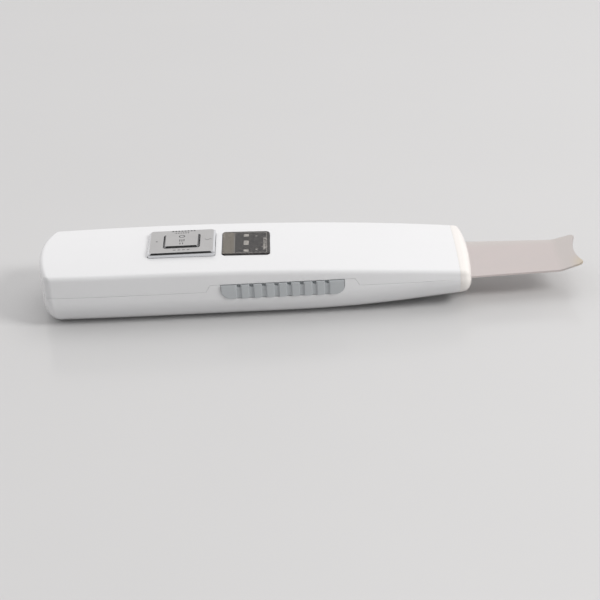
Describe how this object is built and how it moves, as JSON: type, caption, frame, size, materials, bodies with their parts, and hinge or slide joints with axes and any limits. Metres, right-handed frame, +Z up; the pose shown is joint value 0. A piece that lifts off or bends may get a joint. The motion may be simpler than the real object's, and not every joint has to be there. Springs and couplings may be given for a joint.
{
  "type": "skin scrubber",
  "caption": "Handheld ultrasonic skin scrubber: flat white handle, chrome push button, dark display window, ribbed side grips and a curled stainless blade.",
  "frame": {"origin": "middle of the footprint's bounding box, on the surface that the handle lies on", "axes": "+X along the handle towards the blade tips, +Y across, +Z up through the key plate"},
  "size_m": [0.2018, 0.0456, 0.0237],
  "materials": {
    "shell_white": "high gloss",
    "cap_cream": "gloss",
    "grip_blue_grey": "satin",
    "chromed": "bright",
    "window_dark": "mirror gloss",
    "blade_steel": "satin",
    "screw_steel": "satin",
    "silicone": "matt",
    "board_green": "solder mask",
    "black_plastic": "matt",
    "lamp": "clear",
    "parts_tan": "matt",
    "ferrite": "matt",
    "copper_wire": "enamelled",
    "can_aluminium": "satin",
    "cell_wrap": "shrink film",
    "brass": "bright",
    "foam": "open cell",
    "wire_red": "matt",
    "ceramic": "fired",
    "machined_alloy": "turned",
    "dark_steel": "oiled"
  },
  "bodies": {
    "housing": {"upper_shell": "shell_white", "lower_shell": "shell_white", "nose_cap": "cap_cream", "blade_seal": "silicone", "scraper_blade": "blade_steel", "key_plate": "chromed", "display_window": "window_dark", "light_baffle": "black_plastic", "status_leds": "lamp", "side_grip_left": "grip_blue_grey", "side_grip_right": "grip_blue_grey", "housing_screws": "screw_steel", "main_board": "board_green", "board_screws": "screw_steel", "switch_body": "black_plastic", "switch_cover": "screw_steel", "controller_chip": "black_plastic", "board_components": "parts_tan", "transformer_core": "ferrite", "transformer_winding": "copper_wire", "smoothing_capacitor": "can_aluminium", "battery_cell": "cell_wrap", "battery_tabs": "brass", "battery_pad": "foam", "battery_leads": "wire_red", "charge_jack": "black_plastic", "jack_terminals": "brass", "back_mass": "dark_steel", "preload_bolt": "dark_steel", "insulating_sleeve": "lamp", "piezo_ring_rear": "ceramic", "piezo_ring_front": "ceramic", "electrode_tabs": "brass", "transducer_horn": "machined_alloy", "transducer_leads": "wire_red", "front_bush": "silicone", "rear_bush": "silicone", "blade_clamp": "machined_alloy", "blade_screws": "screw_steel"},
    "button": {"mode_button": "chromed"},
    "plunger": {"switch_plunger": "black_plastic"}
  },
  "joints": [
    {"name": "button_press", "type": "slide", "parent": "housing", "child": "button", "axis": [0, 0, -1], "range_m": [0, 0.0004], "stiffness_N_per_m": 1800, "springref_m": -0.0004},
    {"name": "plunger_press", "type": "slide", "parent": "housing", "child": "plunger", "axis": [0, 0, -1], "range_m": [0, 0.0004]}
  ],
  "couplings": [
    {"joint": "plunger_press", "follows": "button_press", "ratio": 1}
  ]
}
